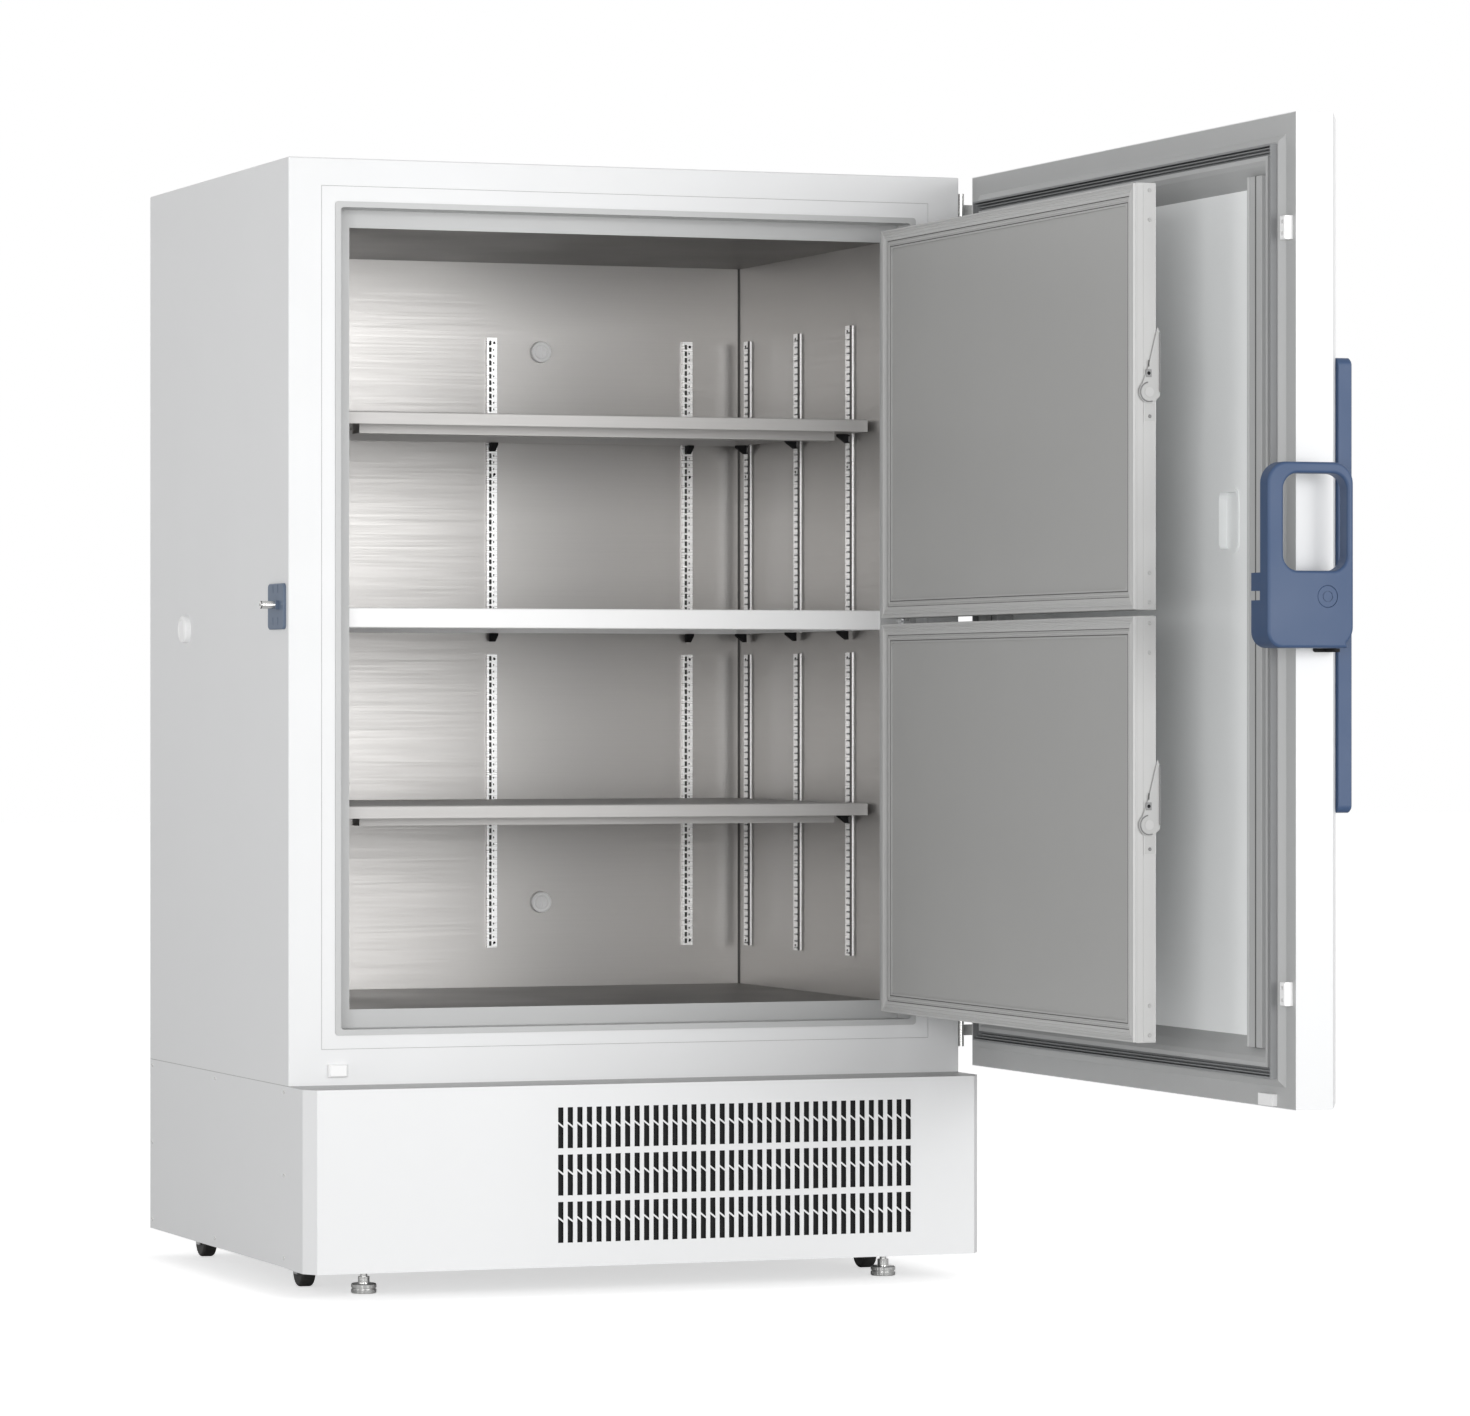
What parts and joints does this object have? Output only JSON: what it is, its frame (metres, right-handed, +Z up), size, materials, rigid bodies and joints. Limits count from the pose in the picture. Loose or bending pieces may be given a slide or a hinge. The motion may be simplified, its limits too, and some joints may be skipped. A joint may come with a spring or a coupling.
{
  "type": "ultra low temperature freezer",
  "caption": "Upright insulated freezer with shelves, inner doors, a thick hinged outer door with a latch handle, and a grilled base with a cooling unit on casters.",
  "frame": {"origin": "on the floor under the centre of the cabinet", "axes": "+X to the right seen from the front, +Y to the back, +Z up; the front faces -Y and the outer door stands open at 90 degrees"},
  "size_m": [1.4287, 2.206, 1.98],
  "materials": {
    "white_paint": "satin powder coat",
    "light_plastic": "smooth moulded plastic",
    "grey_plastic": "fine grain",
    "pan_plastic": "smooth",
    "panel_plastic": "fine grain",
    "liner_steel": "brushed",
    "bright_steel": "polished",
    "zinc_steel": "zinc plated",
    "white_plastic": "moulded",
    "blue_plastic": "moulded",
    "dark_plastic": "moulded",
    "gasket_rubber": "soft",
    "light_rubber": "soft",
    "black_rubber": "soft",
    "foam": "cut foam",
    "copper_pipe": "drawn",
    "fin_aluminium": "rolled",
    "compressor_black": "semi gloss",
    "screen_glass": "gloss",
    "shelf_steel": "brushed"
  },
  "bodies": {
    "cabinet": {"cabinet_shell": "white_paint", "back_panel": "white_paint", "front_frame": "white_paint", "breaker_collar": "light_plastic", "insulation": "foam", "inner_liner": "liner_steel", "evaporator_tube": "copper_pipe", "shelf_strips": "shelf_steel", "divider_shelf": "white_plastic", "upper_shelf": "shelf_steel", "lower_shelf": "shelf_steel", "shelf_clips": "dark_plastic", "port_caps": "light_plastic", "strike_plate": "blue_plastic", "strike_pin": "bright_steel", "cabinet_hinges": "bright_steel", "rest_block": "white_plastic", "inner_hinge_brackets": "zinc_steel", "base_frame": "zinc_steel", "base_panels": "white_paint", "front_cover": "white_paint", "air_filter": "dark_plastic", "condenser": "fin_aluminium", "fan_shroud": "zinc_steel", "fan_motor": "compressor_black", "first_stage_compressor": "compressor_black", "second_stage_compressor": "compressor_black", "compressor_mounts": "black_rubber", "heat_exchanger": "foam", "refrigerant_pipes": "copper_pipe", "control_box": "zinc_steel", "levelling_foot_left": "bright_steel", "levelling_foot_right": "bright_steel"},
    "outer_door": {"door_skin": "white_paint", "door_inner_frame": "grey_plastic", "door_pan": "pan_plastic", "door_foam": "foam", "door_gasket": "gasket_rubber", "door_hinge_leaves": "bright_steel", "door_blocks": "white_plastic", "display_bezel": "blue_plastic", "display_screen": "screen_glass", "handle_base": "dark_plastic"},
    "handle": {"handle_lever": "blue_plastic"},
    "lock_button": {"lock_button": "blue_plastic"},
    "lower_inner_door": {"lower_inner_door": "panel_plastic", "lower_inner_gasket": "light_rubber"},
    "upper_inner_door": {"upper_inner_door": "panel_plastic", "upper_inner_gasket": "light_rubber"},
    "lower_latch": {"lower_latch": "bright_steel"},
    "upper_latch": {"upper_latch": "bright_steel"},
    "fan": {"fan_blades": "fin_aluminium"},
    "caster_front_left": {"caster_fork_front_left": "zinc_steel"},
    "wheel_front_left": {"caster_wheel_front_left": "black_rubber"},
    "caster_front_right": {"caster_fork_front_right": "zinc_steel"},
    "wheel_front_right": {"caster_wheel_front_right": "black_rubber"},
    "caster_rear_left": {"caster_fork_rear_left": "zinc_steel"},
    "wheel_rear_left": {"caster_wheel_rear_left": "black_rubber"},
    "caster_rear_right": {"caster_fork_rear_right": "zinc_steel"},
    "wheel_rear_right": {"caster_wheel_rear_right": "black_rubber"}
  },
  "joints": [
    {"name": "outer_door_hinge", "type": "hinge", "parent": "cabinet", "child": "outer_door", "pos_m": [0.6377, -0.433, 1], "axis": [0, 0, 1], "range_deg": [-90, 20]},
    {"name": "lower_inner_hinge", "type": "hinge", "parent": "cabinet", "child": "lower_inner_door", "pos_m": [0.527, -0.424, 0.827], "axis": [0, 0, 1], "range_deg": [-90, 20]},
    {"name": "upper_inner_hinge", "type": "hinge", "parent": "cabinet", "child": "upper_inner_door", "pos_m": [0.527, -0.424, 1.532], "axis": [0, 0, 1], "range_deg": [-90, 20]},
    {"name": "handle_pivot", "type": "hinge", "parent": "outer_door", "child": "handle", "pos_m": [0.716, -1.721, 1.18], "axis": [0, 0, 1], "range_deg": [0, 25]},
    {"name": "lock_button_slide", "type": "slide", "parent": "handle", "child": "lock_button", "axis": [0, 1, 0], "range_m": [0, 0.0025], "stiffness_N_per_m": 400},
    {"name": "lower_latch_pivot", "type": "hinge", "parent": "lower_inner_door", "child": "lower_latch", "pos_m": [0.505, -1.4804, 0.834], "axis": [0, 1, 0], "range_deg": [0, 60]},
    {"name": "upper_latch_pivot", "type": "hinge", "parent": "upper_inner_door", "child": "upper_latch", "pos_m": [0.505, -1.4804, 1.539], "axis": [0, 1, 0], "range_deg": [0, 60]},
    {"name": "fan_spin", "type": "hinge", "parent": "cabinet", "child": "fan", "pos_m": [0.13575, -0.31, 0.214], "axis": [0, 1, 0], "continuous": true},
    {"name": "caster_front_left_swivel", "type": "hinge", "parent": "cabinet", "child": "caster_front_left", "pos_m": [-0.538, -0.236, 0.076], "axis": [0, 0, 1], "continuous": true},
    {"name": "wheel_front_left_spin", "type": "hinge", "parent": "caster_front_left", "child": "wheel_front_left", "pos_m": [-0.538, -0.222, 0.03], "axis": [1, 0, 0], "continuous": true},
    {"name": "caster_front_right_swivel", "type": "hinge", "parent": "cabinet", "child": "caster_front_right", "pos_m": [0.538, -0.236, 0.076], "axis": [0, 0, 1], "continuous": true},
    {"name": "wheel_front_right_spin", "type": "hinge", "parent": "caster_front_right", "child": "wheel_front_right", "pos_m": [0.538, -0.222, 0.03], "axis": [1, 0, 0], "continuous": true},
    {"name": "caster_rear_left_swivel", "type": "hinge", "parent": "cabinet", "child": "caster_rear_left", "pos_m": [-0.538, 0.369, 0.076], "axis": [0, 0, 1], "continuous": true},
    {"name": "wheel_rear_left_spin", "type": "hinge", "parent": "caster_rear_left", "child": "wheel_rear_left", "pos_m": [-0.538, 0.383, 0.03], "axis": [1, 0, 0], "continuous": true},
    {"name": "caster_rear_right_swivel", "type": "hinge", "parent": "cabinet", "child": "caster_rear_right", "pos_m": [0.538, 0.369, 0.076], "axis": [0, 0, 1], "continuous": true},
    {"name": "wheel_rear_right_spin", "type": "hinge", "parent": "caster_rear_right", "child": "wheel_rear_right", "pos_m": [0.538, 0.383, 0.03], "axis": [1, 0, 0], "continuous": true}
  ],
  "couplings": [
    {"joint": "lower_inner_hinge", "follows": "outer_door_hinge", "ratio": 1},
    {"joint": "upper_inner_hinge", "follows": "outer_door_hinge", "ratio": 1}
  ]
}
